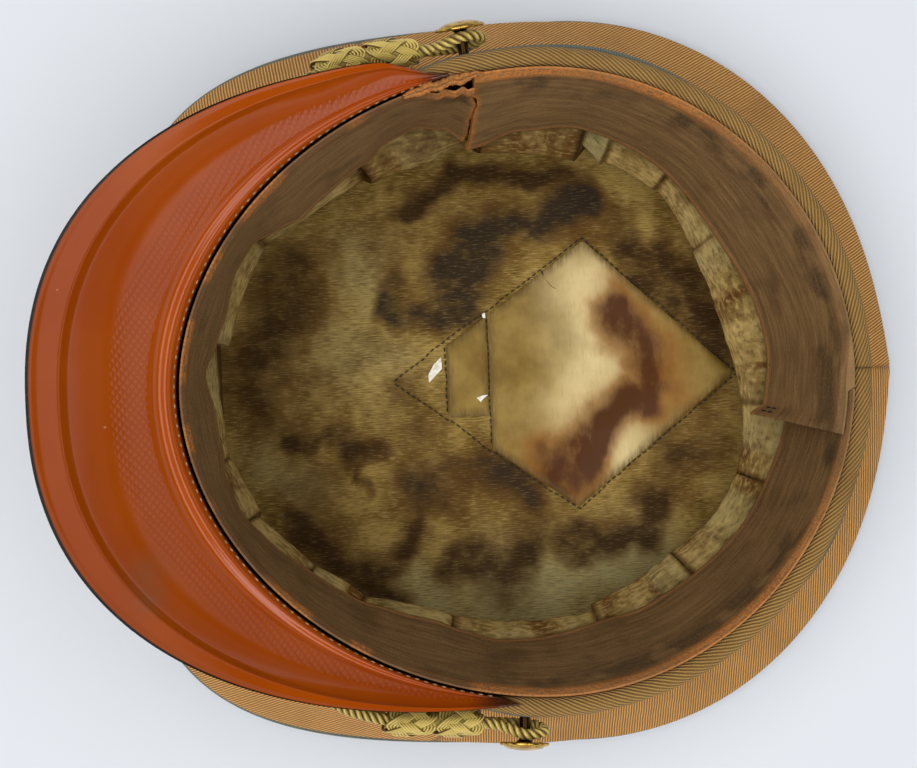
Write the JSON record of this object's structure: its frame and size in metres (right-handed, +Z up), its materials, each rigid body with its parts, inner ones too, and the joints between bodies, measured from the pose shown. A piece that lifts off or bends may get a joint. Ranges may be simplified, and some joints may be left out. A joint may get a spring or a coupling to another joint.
{
  "type": "visor cap",
  "caption": "Peaked cloth cap lying upside down on its crown, with a lacquered visor, rolled rim, leather sweatband, pleated satin lining and gold chin cord.",
  "frame": {"origin": "on the crown's flat resting patch, in the cap's centre plane", "axes": "+Z up out of the head opening as the cap lies on its crown, -X towards the visor, +Y towards the wearer's left"},
  "size_m": [0.2389, 0.2244, 0.1333],
  "materials": {
    "crown_twill": "tan wool twill with fine diagonal ribs",
    "band_twill": "olive-tan twill, rolled and stitched",
    "piping_cloth": "blue-grey wool piping",
    "visor_lacquer": "lacquered fibre, orange and cross-hatched below, black above",
    "sweatband_leather": "worn brown leather",
    "lining_satin": "stained olive-gold satin",
    "celluloid": "yellowed clear celluloid, cracked",
    "gold_thread": "gold metal thread, twisted and woven",
    "gilt_metal": "gilt, worn"
  },
  "bodies": {
    "root": {"crown_top": "crown_twill", "crown_quarter_back_left": "crown_twill", "crown_quarter_back_right": "crown_twill", "crown_quarter_front_left": "crown_twill", "crown_quarter_front_right": "crown_twill", "crown_piping": "piping_cloth", "band": "band_twill", "band_piping": "piping_cloth", "visor": "visor_lacquer", "sweatband_main": "sweatband_leather", "sweatband_rear": "sweatband_leather", "lining_top": "lining_satin", "lining_pleat_01": "lining_satin", "lining_pleat_02": "lining_satin", "lining_pleat_03": "lining_satin", "lining_pleat_04": "lining_satin", "lining_pleat_05": "lining_satin", "lining_pleat_06": "lining_satin", "lining_pleat_07": "lining_satin", "lining_pleat_08": "lining_satin", "lining_pleat_09": "lining_satin", "lining_pleat_10": "lining_satin", "lining_pleat_11": "lining_satin", "lining_pleat_12": "lining_satin", "lining_pleat_13": "lining_satin", "lining_pleat_14": "lining_satin", "lining_pleat_15": "lining_satin", "lining_pleat_16": "lining_satin", "lining_pleat_17": "lining_satin", "sweat_shield": "celluloid", "sweat_shield_strip": "celluloid", "chin_cord": "gold_thread", "cord_slide_left": "gold_thread", "cord_slide_right": "gold_thread", "button_left": "gilt_metal", "button_right": "gilt_metal"}
  },
  "joints": []
}
